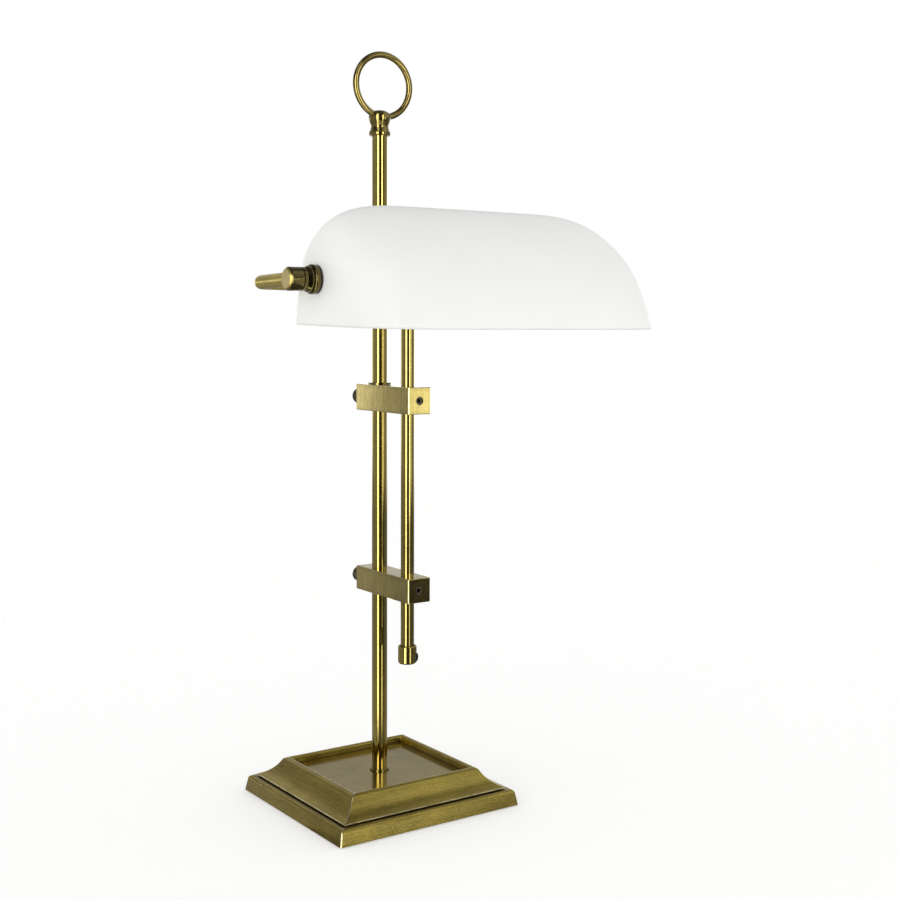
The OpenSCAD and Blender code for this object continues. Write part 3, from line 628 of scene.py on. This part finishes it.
def round_ring(radius, z):
    """A circle with as many points as square_ring has."""
    count = 4 * (CORNER_STEPS + 1)
    angles = [2 * math.pi * (k + 0.5) / count for k in range(count)]
    return [(radius * math.cos(a), radius * math.sin(a), z) for a in angles]


def arc(centre, radius, start, end, steps):
    """Points of a profile, (half width, height), along an arc in degrees."""
    angles = [math.radians(start + (end - start) * i / steps) for i in range(steps + 1)]
    return [(centre[0] + radius * math.cos(a), centre[1] + radius * math.sin(a)) for a in angles]


def loft(name, rings, node):
    """A closed body of the base through a loop of rings."""
    points = [p for ring in rings for p in ring]
    piece = add_mesh(name, points, strips(len(rings), len(rings[0]), closed=True), "base")
    piece.data.set_sharp_from_angle(angle=math.radians(32))
    stands_for(piece, "lamp_base", node)


def plinth():
    """The slab: sides that lean in, a rounded top edge, a bore, and room for the weight."""
    high, lean_in, top_r, bore_r = DECK_Z - FOOT_Z, 2.0, 2.7, 5.55
    weight_half, felt_z, felt_half = 64, 1.6, 68.9
    side = math.hypot(high, lean_in)
    centre = (PLINTH_HALF - lean_in * (high - top_r) / high - top_r * side / high, DECK_Z - top_r)
    lean = math.degrees(math.atan2(lean_in, high))
    rings = [square_ring(PLINTH_HALF, FOOT_Z, CORNER_OUT)]
    rings += [square_ring(h, z, CORNER_OUT) for h, z in arc(centre, top_r, lean, 90, 12)]
    rings += [round_ring(bore_r, DECK_Z), round_ring(bore_r, DECK_Z - DECK_T)]
    rings += [square_ring(h, z, CORNER_IN) for h, z in (
        (weight_half, DECK_Z - DECK_T), (weight_half, felt_z), (felt_half, felt_z),
        (felt_half, FOOT_Z))]
    loft("plinth_eased", rings, "base_plinth")


def moulding():
    """The frame: groove, thin lip, hollow cove, round crest, recess wall and ledge."""
    foot, crest_r, rim_r = Vector((MOULDING_HALF, 12.6)), 4.0, 1.4
    crest, rim = Vector((49.5, MOULDING_TOP - crest_r)), (48.8, MOULDING_TOP - rim_r)
    groove_half, groove_top, lip_r = 64.7, 12.0, 0.28
    recess_half, ledge_half, ledge_z = 47.4, 43.4, 19.8
    corner, corner_top = 0.8, 1.3
    # the cove starts at the foot with a share of its mean slope and meets the crest smoothly
    start = math.radians(0.62 * math.degrees(math.atan2(crest.y - foot.y, foot.x - crest.x)))
    out = Vector((math.sin(start), math.cos(start)))
    chord = foot - crest
    cove_r = (chord.dot(chord) - crest_r ** 2) / (2 * (crest_r - chord.dot(out)))
    centre = foot + cove_r * out
    line = centre - crest
    at_foot = math.degrees(math.atan2(foot.y - centre.y, foot.x - centre.x))
    at_crest = math.degrees(math.atan2(-line.y, -line.x))
    crest_start = math.degrees(math.atan2(line.y, line.x))
    rings = [square_ring(groove_half, z, CORNER_IN) for z in (DECK_Z, groove_top)]
    rings += [square_ring(h, z, corner)
              for h, z in arc((foot.x - lip_r, groove_top + lip_r), lip_r, -90, 60, 7)]
    cove = arc(centre, cove_r, at_foot, at_crest, 28)[1:]
    rings += [square_ring(h, z, corner + (corner_top - corner) * min(1.0, i / 8))
              for i, (h, z) in enumerate(cove)]
    rings += [square_ring(h, z, corner_top)
              for h, z in arc(crest, crest_r, crest_start, 90, 14)[1:]]
    rings += [square_ring(h, z, CORNER_IN) for h, z in arc(rim, rim_r, 90, 180, 8)]
    rings += [square_ring(h, z, CORNER_IN) for h, z in (
        (recess_half, ledge_z), (ledge_half, ledge_z), (ledge_half, DECK_Z))]
    loft("moulding_eased", rings, "base_moulding")


plinth()
moulding()

# ------------------------------------------------------------------ camera

# solved from the photograph, whose frame is 900 pixels square
FRAME_PX = 900.0
EYE = (-0.5208, -0.8791, 0.3482)
YAW, PITCH, ROLL = math.radians(36.21), math.radians(2.38), math.radians(0.248)
FOCAL_PX, CENTRE_X_PX, CENTRE_Y_PX = 1404.16, 516.38, 381.19
SENSOR_MM = 36.0

ahead = Vector((math.sin(YAW) * math.cos(PITCH), math.cos(YAW) * math.cos(PITCH),
                -math.sin(PITCH)))
right = Vector((math.cos(YAW), -math.sin(YAW), 0.0))
up = right.cross(ahead)
rolled_right = math.cos(ROLL) * right + math.sin(ROLL) * up
rolled_up = -math.sin(ROLL) * right + math.cos(ROLL) * up
camera = bpy.data.cameras.new("camera")
camera.sensor_width = SENSOR_MM
camera.lens = FOCAL_PX / FRAME_PX * SENSOR_MM
camera.shift_x = (FRAME_PX / 2 - CENTRE_X_PX) / FRAME_PX
camera.shift_y = (CENTRE_Y_PX - FRAME_PX / 2) / FRAME_PX
camera.clip_start, camera.clip_end = 0.01, 50.0
camera_object = bpy.data.objects.new("camera", camera)
camera_object.matrix_world = (Matrix.Translation(Vector(EYE))
                              @ Matrix((rolled_right, rolled_up, -ahead)).transposed().to_4x4())
scene.collection.objects.link(camera_object)
scene.camera = camera_object

# ------------------------------------------------------------------ light

# Bearings are compass angles round the lamp, counted from the one towards the camera: a strip
# at +40 stands 40 degrees to the camera's right. They are counted from a point between the
# column and the shade.
BEARING_Y = -0.06
TO_CAMERA = math.atan2(EYE[1] - BEARING_Y, EYE[0])

# Soft boxes that only glossy rays see, so that brass has bright and dark to mirror: from, to and
# easing round the lamp, lowest, highest and easing in height, all in degrees, and power.
SOFT_BOXES = [
    (-32, -12, 3, -70, 24, 6, 6.0),           # left streak of tubes
    (-30, -14, 4, 30, 62, 8, 2.5),            # its upper part
    (31, 45, 3, -70, 24, 6, 5.0),             # right streak of tubes
    (58, 69, 2, -16, 2.4, 1.6, 1.9),          # block fronts
    (53, 69, 2, 0.6, 3.0, 0.6, 0.9),          # front of the upper block
    (-130, -118.3, 1.3, -4.5, 2, 2, 2.0),     # far end of the upper block's left face
    (150, 210, 12, -4, 6, 5, 1.15),           # block tops
    (-112, -50, 12, -60, 12, 12, 0.34),       # dim light from the left
    (-225, -150, 12, -60, 32, 20, 0.38),      # from behind on the left
    (-150, -126, 10, -60, 4, 10, 0.22),       # between these two, low
    (-152, -108, 10, 16, 42, 10, 0.26),       # and high, on the cove's left side
    (50, 105, 12, 14, 60, 8, 0.46),           # from the right on the cove
    (75, 165, 15, -60, 52, 15, 0.3),          # from behind on the right
]
STUDIO_FLOOR, STUDIO_TOP = 0.05, 0.1

# Glow of the soft boxes on the table, seen by glossy rays: from, to, easing, power.
GLINTS = [(-32, -12, 3, 4.0), (31, 44, 2, 2.0)]
PATCHES = [(-119, -50, 12, 0.24), (75, 150, 15, 0.12), (-225, -119, 5, 0.2)]
GLINTS_FADE_IN = (0.13, 0.26)     # distance from the lamp in metres
TABLE_LEVEL, TABLE_NEAR, TABLE_FADE = 0.05, 0.1, (0.5, 0.15)

# The dome that diffuse rays see: its level at the horizon, how far it falls overhead, and how
# much brighter it is towards the camera.
DOME, DOME_FALL, DOME_FRONT = 1.5, 0.95, 0.08

FLOOR_HALF, FLOOR_COLOR, FLOOR_DROP = 1.6, (0.92, 0.92, 0.91, 1), 0.0002
# Seen on the floor by camera and transmission rays alone: it whitens the background, keeps the
# shadow and lights nothing.
FLOOR_GLOW = 0.29


def bearing(t, x, y, start, end, soft):
    """1 between two bearings, easing to 0 outside them."""
    middle = TO_CAMERA + math.radians((start + end) / 2)
    c, s = math.cos(middle), math.sin(middle)
    along = t.add(t.mul(x, c), t.mul(y, s))
    side = t.sub(t.mul(y, c), t.mul(x, s))
    half = (end - start) / 2
    return t.ease(t.size(t.math("ARCTAN2", side, along)), math.radians(half + soft),
                  math.radians(half))


def elevation(t, z, low, high, soft):
    """1 between two heights over the horizon, easing to 0 outside them."""
    low_out, low_in, high_out, high_in = (
        math.sin(math.radians(e)) for e in (low - soft, low, high + soft, high))
    return t.mul(t.ease(z, low_out, low_in), t.ease(z, high_out, high_in))


def boxes(t, x, y, z, rows):
    """The sum of soft boxes."""
    total = 0.0
    for start, end, soft, low, high, high_soft, power in rows:
        shape = t.mul(bearing(t, x, y, start, end, soft), elevation(t, z, low, high, high_soft))
        total = t.add(t.mul(shape, power), total)
    return total


def glows(t, x, y, rows):
    """The sum of patches of glow on the table."""
    total = 0.0
    for start, end, soft, power in rows:
        total = t.add(t.mul(bearing(t, x, y, start, end, soft), power), total)
    return total


def ray_tests(t):
    """1 for glossy rays; 1 for rays from the camera or passed through glass."""
    rays = t.new("ShaderNodeLightPath").outputs
    return rays["Is Glossy Ray"], t.most(rays["Is Camera Ray"], rays["Is Transmission Ray"])


scene.view_settings.view_transform = "Standard"
world = bpy.data.worlds.new("studio")
scene.world = world
world.use_nodes = True
world.node_tree.nodes.clear()
# the world lights only by rays that reach it, because what it shows depends on their kind
world.cycles.sampling_method = "NONE"


def light_world():
    w = Tree(world.node_tree)
    x, y, z = w.split("Generated")
    studio = w.add(w.add(boxes(w, x, y, z, SOFT_BOXES), STUDIO_FLOOR),
                   w.mul(w.ease(z, 0.3, 0.9), STUDIO_TOP))
    front = w.add(w.mul(x, math.cos(TO_CAMERA)), w.mul(y, math.sin(TO_CAMERA)))
    dome = w.sub(w.add(DOME, w.mul(front, DOME_FRONT)), w.mul(w.ease(z, -0.1, 0.95), DOME_FALL))
    glossy, straight = ray_tests(w)
    seen = w.either(glossy, w.glow(dome), w.glow(studio))
    seen = w.either(straight, seen, w.glow(1.0))
    w.link(seen, w.new("ShaderNodeOutputWorld").inputs[0])


def lay_floor():
    mesh = bpy.data.meshes.new("floor")
    h = FLOOR_HALF
    mesh.from_pydata([(-h, -h, 0), (h, -h, 0), (h, h, 0), (-h, h, 0)], [], [(0, 1, 2, 3)])
    floor = bpy.data.objects.new("floor", mesh)
    scene.collection.objects.link(floor)
    floor.location.z = -FLOOR_DROP
    m = Mat("floor_white")
    m.put(Base_Color=FLOOR_COLOR, Roughness=0.9)
    x, y, _ = m.xyz
    distance, _ = m.polar(x, y)
    table = m.add(m.mul(glows(m, x, y, GLINTS), m.ease(distance, *GLINTS_FADE_IN)),
                  glows(m, x, y, PATCHES))
    table = m.add(table, m.add(m.mul(m.ease(distance, *TABLE_FADE), TABLE_NEAR), TABLE_LEVEL))
    glossy, straight = ray_tests(m)
    plain = m.shader.outputs[0]
    shown = m.either(straight, plain, m.both(plain, m.glow(FLOOR_GLOW)))
    shown = m.either(glossy, shown, m.glow(table))
    m.link(shown, m.out.inputs[0])
    mesh.materials.append(m.material)


light_world()
lay_floor()
